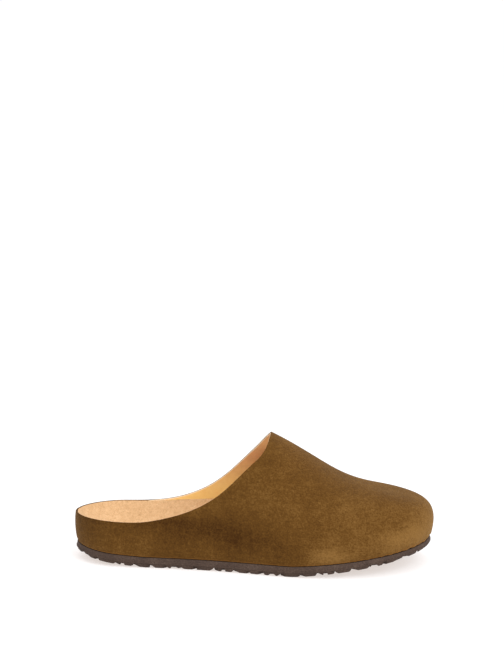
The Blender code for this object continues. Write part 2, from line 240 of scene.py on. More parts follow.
# %% The sole's outline and the heights of the sole
def roundness(along):
    """1 along the sides, falling to 0 at the tips of the heel and the toe."""
    behind = np.clip(1 - along * SOLE_LENGTH / HEEL_ROUND, 0, 1)
    ahead = np.clip(1 - (1 - along) * SOLE_LENGTH / TOE_ROUND, 0, 1)
    heel = np.sqrt(1 - behind**2)
    toe = (1 - ahead**TOE_SQUARENESS) ** (1 / TOE_SQUARENESS)
    return np.minimum(heel, toe)


def feather(side, along):
    """Points of the feather edge, where upper and sole meet, in plan."""
    spread = section_spread(along) * (BALL_WIDTH - HEEL_WIDTH) / 2
    half_width = roundness(along) * (HEEL_WIDTH / 2 + spread)
    lean = section_lean(along) * BALL_WIDTH
    x = along * SOLE_LENGTH
    return np.stack([x, lean + side * half_width, np.zeros_like(x)], -1)


def sole_bottom(along):
    """Height of the sole's underside: flat on the floor, sprung at both ends."""
    from_heel = along * SOLE_LENGTH
    toe = np.clip((from_heel - BALL_REACH) / (SOLE_LENGTH - BALL_REACH), 0, None)
    heel = np.clip(1 - from_heel / HEEL_SPRING_SPAN, 0, None)
    return TOE_SPRING * toe**SPRING_CURVE + HEEL_SPRING * heel**SPRING_CURVE


def seat(along):
    """Height of the outsole's top, where upper and footbed stand."""
    return SOLE_THICKNESS + (1 - SOLE_TAPER) * sole_bottom(along)


# %% The crown of the last
def ease_to_fan(share, reach, stop):
    """Goes from 0 at full speed to stop at half of it, as share goes from 0 to 1."""
    starting = reach * (share**3 - 2 * share**2 + share)
    stopping = stop * (share**3 - share**2) / 2
    return starting + stopping + stop * (3 * share**2 - 2 * share**3)


def crown_station(along):
    """The station of the crown that the rib from this station runs up to."""
    ease = FAN_EASE / SOLE_LENGTH
    heel_start = HEEL_FAN / SOLE_LENGTH + ease
    toe_start = 1 - TOE_FAN / SOLE_LENGTH - ease
    behind = np.clip((heel_start - along) / heel_start, 0, 1)
    ahead = np.clip((along - toe_start) / (1 - toe_start), 0, 1)
    from_heel = heel_start - ease_to_fan(behind, heel_start, ease)
    from_toe = toe_start + ease_to_fan(ahead, 1 - toe_start, ease)
    return np.where(behind > 0, from_heel, np.where(ahead > 0, from_toe, along))


def crown(along):
    """Points of the last's crown line."""
    toe_stop = SOLE_LENGTH - TOE_FAN
    way = (toe_stop - along * SOLE_LENGTH) / (toe_stop - THROAT_REACH)
    height = TOE_HEIGHT + crown_climb(way) * (INSTEP_HEIGHT - TOE_HEIGHT)
    return np.stack([along * SOLE_LENGTH, crown_lean(way) * BALL_WIDTH, height], -1)


# %% The swelling side and the drawn-in tips
def ramp(value, start, end):
    """Goes smoothly from 0 at start to 1 at end."""
    share = np.clip((value - start) / (end - start), 0, 1)
    return share * share * (3 - 2 * share)


def swell(height):
    """How far the wall stands out at this height above the feather edge. The curve
    is highest at a third of its way, where 6.75 brings it to 1."""
    share = np.clip(height / (3 * SWELL_HEIGHT), 0, 1)
    return SWELL * 6.75 * share * (1 - share) ** 2


def drawn_in(along, height):
    """How far ahead the heel's tip draws in, and how far back the toe's tip."""
    at_heel_tip = 1 - ramp(along, 0.0, HEEL_TIP.span)
    at_toe_tip = ramp(along, 1 - TOE_TIP.span, 1.0)
    low_at_heel = 1 - np.clip(height / HEEL_TIP.height, 0, 1) ** 2
    low_at_toe = np.clip(1 - height / TOE_TIP.height, 0, 1) ** 2
    return HEEL_TIP.reach * at_heel_tip * low_at_heel - TOE_TIP.reach * at_toe_tip * low_at_toe


# %% A rib of the upper, from the feather edge up
HALVINGS = 40  # each halves the span in which the collar cuts a rib


def rib(side, along, angle):
    """Points of the upper's outer face: angle 0 is the feather edge, and a quarter
    turn is the crown."""
    base = feather(side, along)
    base[..., 2] = seat(along) + FIT_GAP
    station = crown_station(along)
    top = crown(station)
    inward = (top - base) * (1, 1, 0)
    reach = np.linalg.norm(inward, axis=-1)
    step = 0.001
    climbed = crown(station + step)[..., 2] - crown(station - step)[..., 2]
    shear = climbed / (2 * step * SOLE_LENGTH) * inward[..., 0]
    power = 2 / section_fullness(along)
    across = 1 - np.clip(np.cos(angle), 0, 1) ** power
    up = np.clip(np.sin(angle), 0, 1) ** power
    height = (top[..., 2] - base[..., 2] - shear) * up + shear * across
    stand_out = (1 - across) * swell(height) / reach
    point = base + inward * (across - stand_out)[..., None]
    point[..., 0] += drawn_in(along, height)
    point[..., 2] = base[..., 2] + height
    return point


def collar_height(side, x, inset=0.0):
    """Height of the collar's edge above the floor. A layer that is cut shorter than
    the suede has its edge inset from the suede's."""
    rim = SOLE_THICKNESS + FOOTBED_RIM + RIM_LIP
    way = np.clip((x - inset) / THROAT_REACH, 0, COLLAR[-1].way)
    return rim + collar_climb[side](way) * (INSTEP_HEIGHT - rim) - inset


def last_angle(side, along, inset=0.0):
    """The angle at which the collar cuts a rib, or a quarter turn ahead of the
    throat, where ribs run up to the crown."""
    low = np.zeros_like(along)
    high = np.full_like(along, math.pi / 2)
    for _ in range(HALVINGS):
        middle = (low + high) / 2
        point = rib(side, along, middle)
        under = point[..., 2] < collar_height(side, point[..., 0], inset)
        low = np.where(under, middle, low)
        high = np.where(under, high, middle)
    ahead = along * SOLE_LENGTH >= THROAT_PEAK + inset - TINY
    return np.where(ahead, math.pi / 2, low)


# %% Where the mesh runs
Steps = namedtuple("Steps", "heel quarter vamp toe")
CLOSE = np.array([0, 0.25, 0.5, 0.9, 1.5, 2.3, 3.4, 5.0]) / 1000  # next to an edge
SEAM_CROWDING, WAIST_CROWDING, THROAT_CROWDING = 1.5, 1.4, 2.2
MEASURING_STEPS = 160  # up each line, to measure its length


def mesh_lines(steps, inset=0.0):
    """The stations at which each line of the mesh starts at the feather edge and
    ends at its top. Lines crowd together at the back seam and at the throat."""
    heel_end = HEEL_ROUND / SOLE_LENGTH
    toe_start = 1 - TOE_ROUND / SOLE_LENGTH
    throat = (THROAT_PEAK + inset) / SOLE_LENGTH
    throat_foot = throat + RIB_LEAN / SOLE_LENGTH
    turned = (np.arange(steps.heel) / steps.heel) ** SEAM_CROWDING
    heel = heel_end * (1 - np.cos(math.pi / 2 * turned))
    left = 1 - np.arange(steps.quarter) / steps.quarter
    quarter_foot = throat_foot - (throat_foot - heel_end) * left**WAIST_CROWDING
    quarter_top = throat - (throat - heel_end) * left**THROAT_CROWDING
    share = np.arange(steps.vamp) / steps.vamp
    vamp_foot = throat_foot + (toe_start - throat_foot) * share
    vamp_top = throat + (toe_start - throat) * share
    turned = np.sin(math.pi / 2 * np.arange(steps.toe + 1) / steps.toe)
    toe = toe_start + (1 - toe_start) * turned ** (2 / TOE_SQUARENESS)
    foot = np.concatenate([heel, quarter_foot, vamp_foot, toe])
    top = np.concatenate([heel, quarter_top, vamp_top, toe])
    return foot, top


def up_the_wall(side, foot, top, middle_steps, inset=0.0):
    """Points up each line, close together at both ends. Also their distance from
    the feather edge and from the top, along the surface."""
    shares = np.linspace(0, 1, MEASURING_STEPS + 1)
    alongs = foot[:, None] + (top - foot)[:, None] * shares**2
    angles = last_angle(side, top, inset)[:, None] * shares
    steps = np.linalg.norm(np.diff(rib(side, alongs, angles), axis=1), axis=2)
    lengths = np.concatenate([np.zeros((len(foot), 1)), np.cumsum(steps, axis=1)], axis=1)
    places = []
    for length in lengths[:, -1]:
        middle = np.linspace(CLOSE[-1], length - CLOSE[-1], middle_steps + 1)
        places.append(np.concatenate([CLOSE[:-1], middle, length - CLOSE[-2::-1]]))
    rise = np.array(places)
    lines = range(len(foot))
    along = np.array([np.interp(rise[i], lengths[i], alongs[i]) for i in lines])
    angle = np.array([np.interp(rise[i], lengths[i], angles[i]) for i in lines])
    return along, angle, rise, lengths[:, -1:] - rise


fine_steps = Steps(heel=54, quarter=96, vamp=44, toe=60)
foot, top = mesh_lines(fine_steps)
print("mesh lines round one side:", len(foot))

# %% The solids' place in the frame
stations = np.linspace(0, 1, 2001)
outline = np.concatenate([feather(side, stations) for side in (LATERAL, MEDIAL)])
low, high = (np.array(corner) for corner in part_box("outsole"))
shift = np.zeros(3)
shift[0] = low[0] + SOLE_FLARE
shift[1] = (low[1] + high[1] - outline[:, 1].min() - outline[:, 1].max()) / 2
print("from the heel's feather edge to the frame's origin:", np.round(shift, 5))

# %% [markdown]
# ## The suede upper
# The real upper is one piece of suede, about 1.3 mm thick, wrapped round the last and
# closed at the back of the heel. Its edge at the collar is cut raw and only a little
# rounded. A grid of points that follows the ribs gives clean edges, and Solidify
# turns that sheet into a wall, which a sculpted or remeshed form wouldn't keep even.

# %% Build a sheet that follows the wall
SUEDE_THICKNESS = 0.0013
NO_EDGE = 1.0  # distance to the collar's edge where the wall has none


def wall_sheet(name, steps, middle_steps, inset=0.0):
    """A sheet on the upper's outer face, with each point's distance above the
    feather edge and below the collar's edge kept in attributes."""
    foot, top = mesh_lines(steps, inset)
    has_edge = (top * SOLE_LENGTH < THROAT_PEAK + inset + TINY)[:, None]
    points, rises, belows, faces = [], [], [], []
    for side in (LATERAL, MEDIAL):
        along, angle, rise, below = up_the_wall(side, foot, top, middle_steps, inset)
        grid = np.arange(rise.size).reshape(rise.shape) + sum(len(p) for p in points)
        a, b, c, d = grid[:-1, :-1], grid[1:, :-1], grid[1:, 1:], grid[:-1, 1:]
        corners = (a, b, c, d) if side == LATERAL else (a, d, c, b)
        faces.extend(np.stack(corners, -1).reshape(-1, 4).tolist())
        points.append((rib(side, along, angle) + shift).reshape(-1, 3))
        rises.append(rise.ravel())
        belows.append(np.where(has_edge, below, NO_EDGE).ravel())
    mesh = bpy.data.meshes.new(name)
    mesh.from_pydata(np.concatenate(points), [], faces)
    keep_on_points(mesh, "rise", np.concatenate(rises))
    keep_on_points(mesh, "below", np.concatenate(belows))
    weld(mesh)
    return link(name, mesh)


def keep_on_points(mesh, name, values):
    """Stores one number for each point, for the shape and the materials to read."""
    mesh.attributes.new(name, "FLOAT", "POINT").data.foreach_set("value", values)


def read_from_points(mesh, name):
    """The numbers that keep_on_points stored."""
    values = np.zeros(len(mesh.vertices), np.float32)
    mesh.attributes[name].data.foreach_get("value", values)
    return values.astype(float)


def weld(mesh):
    """Joins the points that two sheets share, and shades the result smooth."""
    shape = bmesh.new()
    shape.from_mesh(mesh)
    bmesh.ops.remove_doubles(shape, verts=shape.verts, dist=2 * TINY)
    shape.to_mesh(mesh)
    shape.free()
    mesh.shade_smooth()


def link(name, data):
    """An object for the mesh or the light, in the scene."""
    made = bpy.data.objects.new(name, data)
    bpy.context.scene.collection.objects.link(made)
    return made


suede = wall_sheet("suede_upper", fine_steps, middle_steps=30)
print("suede sheet:", len(suede.data.vertices), "points")


# %% [markdown]
# ## Pulling, tucking and sewing the suede
# Suede that is pulled round a toe keeps small puckers where it tucks under the edge.
# At the waist it springs free of the footbed, which leaves a long shallow trough. At
# the back the two ends meet in a closed seam between two soft swellings. These are
# shapes of a millimetre or less, so the points themselves move, along the normal.

# %% Moving points along their normals
def points_and_normals(mesh):
    """Both as arrays with a row for each point."""
    points = np.zeros(len(mesh.vertices) * 3, np.float32)
    normals = np.zeros(len(mesh.vertices) * 3, np.float32)
    mesh.vertices.foreach_get("co", points)
    mesh.vertex_normals.foreach_get("vector", normals)
    return points.reshape(-1, 3).astype(float), normals.reshape(-1, 3).astype(float)


def move_out(mesh, distances):
    """Moves every point along its normal."""
    points, normals = points_and_normals(mesh)
    moved = points + normals * distances[:, None]
    mesh.vertices.foreach_set("co", moved.astype(np.float32).ravel())
    mesh.update()


def bump_at(value, middle, half):
    """A soft bump: 1 in the middle, near 0 two halves away."""
    return np.exp(-(((value - middle) / half) ** 2))


# %% Shape the suede
TUCK_DEPTH, TUCK_RISE = 0.00055, 0.0006
EDGE_ROUND = 0.0006
PEAK_EASE, PEAK_SPAN = 0.40, 0.0040  # the cut edge is less rounded at the throat's peak
SEAM_DEPTH, SEAM_WIDTH = 0.0007, 0.0006
SEAM_SWELL, SEAM_SWELL_AT, SEAM_SWELL_WIDTH = 0.00045, 0.0024, 0.0016
PUCKER_DEPTH, PUCKER_RISE, PUCKER_LENGTH = 0.00028, 0.0075, 0.0062
WANDER, WANDER_SPEED = 1.4, 90  # puckers lie unevenly far apart
LONGER, LONGER_SHARE, LONGER_START = 1.7, 0.6, 0.8  # a second, longer wave
TROUGH_DEPTH, TROUGH_RISE, TROUGH_HALF = 0.0005, 0.0215, 0.0065
TOE_SHARE = 0.8  # of the toe's round, for a walk round it in metres
Span = namedtuple("Span", "start end")
SEAM_EASES, SEAM_LOSS = Span(0.018, 0.026), 0.5  # up the back it loses half its depth
PUCKERS_BEGIN = Span(0.205, 0.250)  # from the heel's tip
TROUGH_BEGINS, TROUGH_STOPS = Span(0.02, 0.06), Span(0.13, 0.17)
TROUGH_EASES = Span(0.0015, 0.009)  # below the collar's edge


def pucker_waves(walk):
    """Two waves of unlike length, so that no two puckers are alike."""
    wander = WANDER * np.sin(WANDER_SPEED * walk)
    waves = np.sin(2 * math.pi * walk / PUCKER_LENGTH + wander)
    longer = np.sin(2 * math.pi * walk / (LONGER * PUCKER_LENGTH) + LONGER_START)
    return waves + LONGER_SHARE * longer


def shape_suede(mesh):
    """Tucks the lower edge in, rounds the cut edge, and adds the back seam, the
    puckers round the toe and the trough over the footbed's edge."""
    points, _ = points_and_normals(mesh)
    rise = read_from_points(mesh, "rise")
    below = read_from_points(mesh, "below")
    x, y = (points - shift).T[:2]
    tuck = -TUCK_DEPTH * np.exp(-rise / TUCK_RISE)
    rounded = np.clip(1 - below / EDGE_ROUND, 0, 1)
    edge = -EDGE_ROUND * (1 - np.sqrt(1 - rounded**2))
    edge *= 1 - PEAK_EASE * ramp(x, THROAT_PEAK - PEAK_SPAN, THROAT_PEAK)
    at_back = np.where(x < HEEL_ROUND / 2, np.abs(y), NO_EDGE)
    seam = SEAM_SWELL * bump_at(at_back, SEAM_SWELL_AT, SEAM_SWELL_WIDTH)
    seam -= SEAM_DEPTH * bump_at(at_back, 0, SEAM_WIDTH)
    seam *= 1 - SEAM_LOSS * ramp(rise, *SEAM_EASES)
    round_toe = np.arctan2(y, x - (SOLE_LENGTH - TOE_ROUND)) * TOE_ROUND * TOE_SHARE
    pucker = PUCKER_DEPTH * pucker_waves(round_toe) * ramp(x, *PUCKERS_BEGIN)
    pucker *= np.exp(-((rise / PUCKER_RISE) ** 2))
    over_footbed = ramp(x, *TROUGH_BEGINS) * (1 - ramp(x, *TROUGH_STOPS))
    trough = -TROUGH_DEPTH * bump_at(rise, TROUGH_RISE, TROUGH_HALF) * over_footbed
    trough *= ramp(below, *TROUGH_EASES)
    move_out(mesh, tuck + edge + seam + pucker + trough)


shape_suede(suede.data)
moved, _ = points_and_normals(suede.data)
print("suede from", np.round(moved.min(0), 4), "to", np.round(moved.max(0), 4))


# %% Tone of the nap, with painted highlights and shade
Patch = namedtuple("Patch", "along height reach rise tone")
# patches below 0 are painted shade and the largest ones above 0 are painted highlights, on top
# of the nap's own tone
NAP_AND_LIGHT_PATCHES = (
    Patch(0.00, 0.033, 0.020, 0.014, -0.40),
    Patch(0.11, 0.030, 0.025, 0.008, -0.15),
    Patch(0.18, 0.038, 0.060, 0.004, -0.60),
    Patch(0.34, 0.031, 0.045, 0.012, -0.74),
    Patch(0.50, 0.027, 0.030, 0.014, -0.56),
    Patch(0.62, 0.018, 0.016, 0.009, -0.45),
    Patch(0.73, 0.017, 0.018, 0.007, 0.95),
    Patch(0.25, 0.026, 0.030, 0.008, 0.15),
    Patch(0.92, 0.027, 0.026, 0.009, 0.80),
    Patch(0.985, 0.033, 0.018, 0.018, 0.75),
    Patch(0.80, 0.050, 0.030, 0.014, 0.12),
    Patch(0.54, 0.058, 0.020, 0.012, 0.25),
    Patch(0.56, 0.085, 0.020, 0.012, -0.10),
)


def nap_and_painted_light_tone(points):
    """How far the suede leans light or dark, from listed patches placed as shares of the
    sole's length and heights above the floor. Part of this is the brushed nap's own tone. Part
    is painted light: painted highlights round the toe and on the vamp's top, and painted shade
    from the heel along the waist."""
    x, _, z = (points - shift).T
    tone = np.zeros(len(points))
    for patch in NAP_AND_LIGHT_PATCHES:
        away = ((x - patch.along * SOLE_LENGTH) / patch.reach) ** 2
        away += ((z - patch.height) / patch.rise) ** 2
        tone += patch.tone * np.exp(-away)
    return tone


# the tone kept here holds painted highlights and shade as well as the nap's own tone
keep_on_points(suede.data, "tone", nap_and_painted_light_tone(moved))
print("nap tone from", round(nap_and_painted_light_tone(moved).min(), 2), "to", round(nap_and_painted_light_tone(moved).max(), 2))


# %% Give the sheet its thickness
def thicken(piece, thickness):
    """A wall that grows inwards from the sheet. Its cut edges take the second
    material."""
    wall = piece.modifiers.new("wall", "SOLIDIFY")
    wall.thickness = thickness
    wall.offset = -1
    wall.use_even_offset = True
    wall.use_rim = True
    wall.material_offset_rim = 1
    mesh = bpy.data.meshes.new_from_object(piece.evaluated_get(depsgraph()))
    piece.modifiers.clear()
    piece.data = mesh
    mesh.set_sharp_from_angle(angle=math.radians(50))


def depsgraph():
    """The scene as evaluated now."""
    bpy.context.view_layer.update()
    return bpy.context.evaluated_depsgraph_get()


# %% [markdown]
# ## A kit for materials
# Suede, leather and rubber all come from the same few ideas: noises of several sizes
# that lean a colour one way or the other, and a bump. A small class keeps each
# material short and lets its numbers be read like a recipe.

# %% The recipe class
class Recipe:
    """A material's nodes, written as short calls. Sizes are in metres."""

    def __init__(self, name):
        self.material = bpy.data.materials.new(name)
        self.material.use_nodes = True
        self.nodes = self.material.node_tree.nodes
        self.links = self.material.node_tree.links
        self.shader = self.nodes["Principled BSDF"]
        self.place = self.nodes.new("ShaderNodeTexCoord").outputs["Object"]

    def feed(self, socket, value):
        """Links a socket to another, or sets its number or colour."""
        if isinstance(value, bpy.types.NodeSocket):
            self.links.new(value, socket)
        elif value is not None:
            socket.default_value = value

    def attribute(self, name):
        """A number kept on the mesh's points."""
        node = self.nodes.new("ShaderNodeAttribute")
        node.attribute_name = name
        return node.outputs["Fac"]

    def math(self, operation, first, second=None, third=None):
        """One sum."""
        node = self.nodes.new("ShaderNodeMath")
        node.operation = operation
        for socket, value in zip(node.inputs, (first, second, third)):
            self.feed(socket, value)
        return node.outputs["Value"]

    def fade(self, value, start, end, low=0.0, high=1.0):
        """Goes smoothly from low at start to high at end."""
        node = self.nodes.new("ShaderNodeMapRange")
        node.interpolation_type = "SMOOTHSTEP"
        for name, given in (
            ("Value", value),
            ("From Min", start),
            ("From Max", end),
            ("To Min", low),
            ("To Max", high),
        ):
            self.feed(node.inputs[name], given)
        return node.outputs["Result"]

    def noise(self, size, detail=2.0, stretch=(1, 1, 1)):
        """A noise whose spots are about this many metres across."""
        node = self.nodes.new("ShaderNodeTexNoise")
        node.inputs["Scale"].default_value = 1 / size
        node.inputs["Detail"].default_value = detail
        place = self.place
        if stretch != (1, 1, 1):
            squeeze = self.nodes.new("ShaderNodeVectorMath")
            squeeze.operation = "MULTIPLY"
            squeeze.inputs[1].default_value = [1 / share for share in stretch]
            self.feed(squeeze.inputs[0], place)
            place = squeeze.outputs["Vector"]
        self.feed(node.inputs["Vector"], place)
        return node.outputs["Fac"]

    def pile(self, start, layers):
        """A number and the noises that lean it up or down. A layer is a noise and
        how far it leans."""
        total = start - 0.5 * sum(lean for _, lean in layers)
        for noise, lean in layers:
            total = self.math("MULTIPLY_ADD", noise, lean, total)
        return total

    def colours(self, value, stops):
        """A colour for each value, from stops of value and colour."""
        node = self.nodes.new("ShaderNodeValToRGB")
        elements = node.color_ramp.elements
        for _ in range(len(stops) - 2):
            elements.new(0.5)
        for element, (position, colour) in zip(elements, stops):
            element.position = position
            element.color = (*colour, 1)
        self.feed(node.inputs["Fac"], value)
        return node.outputs["Color"]

    def blend(self, share, first, second):
        """From the first colour to the second."""
        node = self.nodes.new("ShaderNodeMix")
        node.data_type = "RGBA"
        colours = [socket for socket in node.inputs if socket.type == "RGBA"]
        self.feed(node.inputs["Factor"], share)
        for socket, colour in zip(colours, (first, second)):
            self.feed(socket, (*colour, 1) if isinstance(colour, tuple) else colour)
        return next(socket for socket in node.outputs if socket.type == "RGBA")

    def bump(self, height, depth):
        """Bumps of this depth in metres."""
        node = self.nodes.new("ShaderNodeBump")
        node.inputs["Distance"].default_value = depth
        self.feed(node.inputs["Height"], height)
        self.feed(self.shader.inputs["Normal"], node.outputs["Normal"])

    def finish(self, colour, settings):
        """Sets the shader's own sockets, and gives the material."""
        self.feed(self.shader.inputs["Base Color"], colour)
        for name, value in settings.items():
            self.shader.inputs[name].default_value = value
        return self.material


# %% [markdown]
# ## The finish of the suede
# Suede has a nap of short fibres. It scatters light evenly, glows a little at grazing angles,
# and looks lighter or darker where it was brushed one way or the other. The tone kept on the
# mesh adds painted highlights round the toe and painted shade along the waist to that.
# Cloudy patches, specks of fibre, faint streaks down the side and fine wrinkles along
# it make the colour, and sheen makes the glow. Roughness is high all over, because
# suede has no gloss.

# %% Brown suede
SUEDE_DARK = (0.040, 0.0138, 0.0008)
SUEDE_MIDDLE = (0.097, 0.0420, 0.0064)
SUEDE_LIGHT = (0.190, 0.0960, 0.0240)
SUEDE_FIBRE = (0.260, 0.1050, 0.0200)
FIBRES, FIBRE_SHARE = Span(0.0004, 0.0016), 0.40  # loose ones, at the feather edge
# how far the patches of painted light and nap tone lean the colour
NAP_AND_LIGHT_LEAN = 0.30


def brown_suede():
    """The outer face of the upper."""
    recipe = Recipe("brown_suede")
    cloud = recipe.noise(0.045, 2)
    blotch = recipe.noise(0.011, 3)
    mottle = recipe.noise(0.0034, 3)
    grain = recipe.noise(0.0012, 3)
    streak = recipe.noise(0.0030, 2, stretch=(0.7, 0.7, 8))
    wrinkle = recipe.noise(0.0022, 2, stretch=(5, 5, 1))
    tone = recipe.pile(
        0.5,
        [
            (cloud, 0.26),
            (blotch, 0.18),
            (mottle, 0.24),
            (grain, 0.66),
            (streak, 0.16),
            (wrinkle, 0.20),
        ],
    )
    # the tone kept on the points adds painted highlights and shade as well as the nap's own
    # tone
    tone = recipe.math("MULTIPLY_ADD", recipe.attribute("tone"), NAP_AND_LIGHT_LEAN, tone)
    colour = recipe.colours(
        tone, [(0.12, SUEDE_DARK), (0.50, SUEDE_MIDDLE), (0.88, SUEDE_LIGHT)]
    )
    at_feather = recipe.fade(recipe.attribute("rise"), *FIBRES, FIBRE_SHARE, 0.0)
    colour = recipe.blend(at_feather, colour, SUEDE_FIBRE)
    recipe.bump(recipe.pile(0.5, [(wrinkle, 0.5), (mottle, 0.3), (grain, 1.0)]), 0.0006)
    settings = {
        "Roughness": 0.95,
        "Specular IOR Level": 0.12,
        "Sheen Weight": 0.14,
        "Sheen Roughness": 0.40,
        "Sheen Tint": (0.80, 0.53, 0.24, 1),
    }
    return recipe.finish(colour, settings)


def cut_edge(name, colour, dark):
    """The raw cut edge of a layer, rough and unpainted."""
    recipe = Recipe(name)
    fibre = recipe.noise(0.0007, 3)
    recipe.bump(fibre, 0.0003)
    shades = recipe.colours(fibre, [(0.3, dark), (0.7, colour)])
    return recipe.finish(shades, {"Roughness": 0.95})


thicken(suede, SUEDE_THICKNESS)
suede.data.materials.append(brown_suede())
suede.data.materials.append(
    cut_edge("suede_cut_edge", (0.50, 0.30, 0.15), (0.30, 0.165, 0.07))
)
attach(suede, "root")
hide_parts("upper")
print("suede wall:", len(suede.data.polygons), "faces")

# %% [markdown]
# ## The leather lining
# Inside the suede lies a thinner layer of smooth tan leather. It is cut a hair short
# of the suede, and its pale edge shows as a fine line round the collar. Round the
# heel it is cut lower, and the footbed's cover lies over its edge. It is the same
# sheet as the suede's, moved inwards by the suede's thickness.

# %% Lining
LINING_INSET = 0.00010
LINING_GAP = 0.00005
PALE_EDGE = (0.95, 0.74, 0.50)  # where the leather is pared thin
# where the painted shade up the side and the painted light near the peak begin and end
UP_INTO_PAINTED_SHADE, PAINTED_LIGHT_NEAR_PEAK = Span(0.035, 0.075), Span(0.068, 0.084)  # above the sole
PARED, PARED_SHARE = Span(0.0006, 0.0014), 0.95  # below the edge
COVER_DROP, COVER_REACH = 0.0022, 0.0080
COVER_ENDS, COVER_FADE = 0.085, 0.035
COVER_LEAD = 0.024  # the lining's edge shows again this far behind that


def tan_leather_and_painted_light():
    """The lining's grain side, orange by the footbed and pinker up the side, with light and
    shade painted in. It is brighter by the footbed, painted light for the glow the footbed
    throws on it. It is darker up the side, painted shade inside the shoe. It is paler again at
    the throat's peak, painted light."""
    recipe = Recipe("tan_leather_and_painted_light")
    cloud = recipe.noise(0.022, 2)
    mottle = recipe.noise(0.0035, 3)
    pores = recipe.noise(0.0009, 2)
    tone = recipe.pile(0.5, [(cloud, 0.45), (mottle, 0.40), (pores, 0.25)])
    # bright orange: own colour with painted light from the footbed
    low = recipe.colours(
        tone, [(0.2, (0.86, 0.520, 0.170)), (0.8, (0.98, 0.700, 0.255))]
    )
    # darker and pinker: own colour with painted shade up the side
    high = recipe.colours(
        tone, [(0.2, (0.52, 0.245, 0.098)), (0.8, (0.78, 0.390, 0.168))]
    )
    # paler: painted light at the throat's peak
    peak = recipe.colours(
        tone, [(0.2, (0.72, 0.395, 0.160)), (0.8, (0.98, 0.600, 0.270))]
    )
    climb = recipe.fade(recipe.attribute("rise"), *UP_INTO_PAINTED_SHADE)
    colour = recipe.blend(climb, low, high)
    painted_light_at_peak = recipe.fade(recipe.attribute("rise"), *PAINTED_LIGHT_NEAR_PEAK)
    colour = recipe.blend(painted_light_at_peak, colour, peak)
    pared = recipe.fade(recipe.attribute("below"), *PARED, PARED_SHARE, 0.0)
    recipe.bump(recipe.pile(0.5, [(mottle, 0.5), (pores, 0.6)]), 0.00025)
    settings = {"Roughness": 0.62, "Specular IOR Level": 0.30}
    return recipe.finish(recipe.blend(pared, colour, PALE_EDGE), settings)


def at_heel(x):
    """1 round the heel, where the footbed covers the lining's edge, then 0."""
    return 1 - ramp(x, COVER_ENDS - COVER_FADE, COVER_ENDS)


def lower_the_rim(mesh):
    """Moves the edge down round the heel, and the wall under it less and less."""
    points, _ = points_and_normals(mesh)
    share = np.clip(1 - read_from_points(mesh, "below") / COVER_REACH, 0, 1)
    points[:, 2] -= COVER_DROP * at_heel(points[:, 0] - shift[0] + COVER_LEAD) * share
    mesh.vertices.foreach_set("co", points.astype(np.float32).ravel())
    mesh.update()


lining_steps = Steps(heel=24, quarter=64, vamp=26, toe=34)
lining = wall_sheet("leather_lining", lining_steps, middle_steps=24, inset=LINING_INSET)
lining_depth = SUEDE_THICKNESS + LINING_GAP
move_out(lining.data, np.full(len(lining.data.vertices), -lining_depth))
lower_the_rim(lining.data)
thicken(lining, UPPER_WALL - lining_depth)
lining.data.materials.append(tan_leather_and_painted_light())
lining.data.materials.append(
    cut_edge("lining_cut_edge", (0.98, 0.84, 0.66), (0.80, 0.60, 0.40))
)
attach(lining, "root")
print("lining:", len(lining.data.polygons), "faces")

# %% [markdown]
# ## The footbed
# The footbed is a moulded block that cradles the heel and lifts the arch, with light
# suede glued over its top. Its sides follow the inside of the upper. Lofting rings
# from heel to toe repeats how the block is moulded, and a dense ring lets the rim
# roll over softly.

# %% Points inside the upper
FOOTBED_GAP = 0.0001
BED_WALL_STEPS = 24
TURN_STEP, ANGLE_STEP = 0.01, 0.002  # to either side, to find where the face looks


def rib_at_turn(side, turn, angle):
    """A rib's point by how far it lies round the foot: 0 is the tip of the heel and
    pi the tip of the toe, and beyond either tip lies the other side."""
    beyond = (turn < 0) | (turn > math.pi)
    turn = np.where(turn > math.pi, 2 * math.pi - turn, np.abs(turn))
    return rib(np.where(beyond, -side, side), (1 - np.cos(turn)) / 2, angle)


def outer_normal(side, along, angle):
    """The direction in which the upper's outer face looks."""
    turn = np.arccos(np.clip(1 - 2 * along, -1, 1))
    ahead = rib_at_turn(side, turn + TURN_STEP, angle)
    behind = rib_at_turn(side, turn - TURN_STEP, angle)
    above = rib(side, along, np.minimum(math.pi / 2, angle + ANGLE_STEP))
    below = rib(side, along, np.maximum(0.0, angle - ANGLE_STEP))
    normal = side * np.cross(above - below, ahead - behind)
    return normal / np.linalg.norm(normal, axis=-1, keepdims=True)


def inside_upper(side, foot, top, heights, depth):
    """The points at these heights, a row for each line, at a depth in the wall."""
    along, angle, _, _ = up_the_wall(side, foot, top, BED_WALL_STEPS)
    inner = rib(side, along, angle) - depth[:, None, None] * outer_normal(side, along, angle)
    found = []
    for line, levels in zip(inner, heights):
        x = np.interp(levels, line[:, 2], line[:, 0])
        y = np.interp(levels, line[:, 2], line[:, 1])
        found.append(np.stack([x, y, levels], -1))
    return np.array(found)


# %% Loft the footbed
BED_SIDE_STEPS, BED_TOP_STEPS = 5, 64
BED_EDGE_ROLL, BED_EDGE_DROP = 0.0014, 0.0003
RIM_CLEARANCE = 0.0001  # round the heel, below the suede's cut edge
COVER_LIP = 0.0012  # the part of the rim that lies over the lining's edge
LIP_FULL, LIP_STEPS = 0.8, 2  # of the lip stands right over it, the rest slopes out


